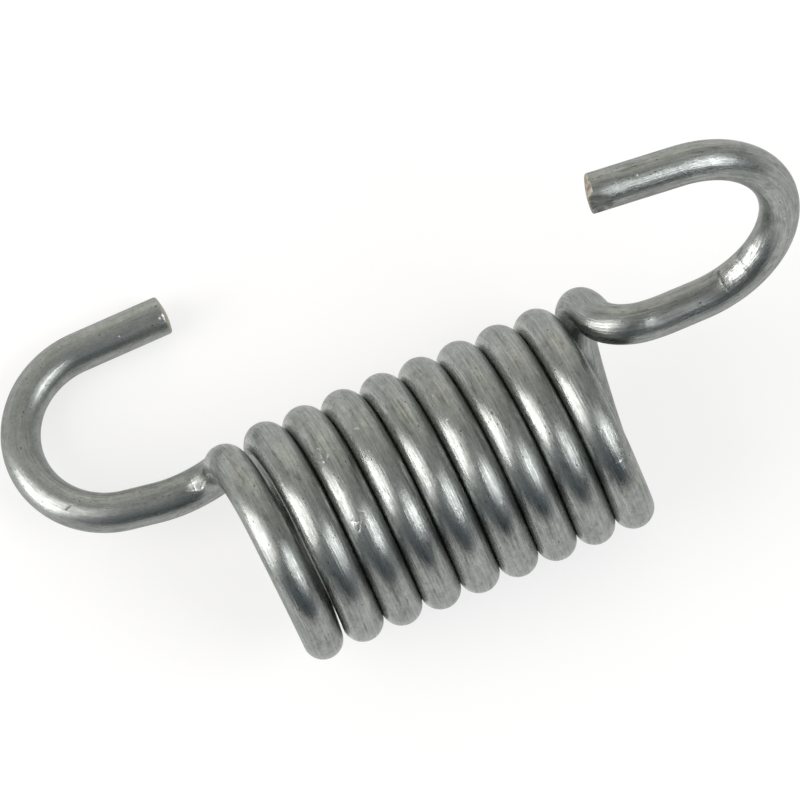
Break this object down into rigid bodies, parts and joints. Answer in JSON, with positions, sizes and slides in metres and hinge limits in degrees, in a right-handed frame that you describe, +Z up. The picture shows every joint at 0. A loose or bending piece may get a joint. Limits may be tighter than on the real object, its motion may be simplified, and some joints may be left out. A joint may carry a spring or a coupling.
{
  "type": "extension spring",
  "caption": "Close-wound extension spring of round steel wire with an open side hook bent up at each end, the two hooks turned about a quarter turn apart.",
  "frame": {"origin": "on the surface the spring lies on, under the middle of its overall box", "axes": "+X along the coil from hook A to hook B, +Y towards the side that hook A lies on, +Z up"},
  "size_m": [0.0804, 0.0414, 0.0415],
  "materials": {
    "plated_wire": "zinc-plated drawn spring wire with fine lines along the wire and small tool marks"
  },
  "bodies": {
    "root": {"spring": "plated_wire"}
  },
  "joints": []
}
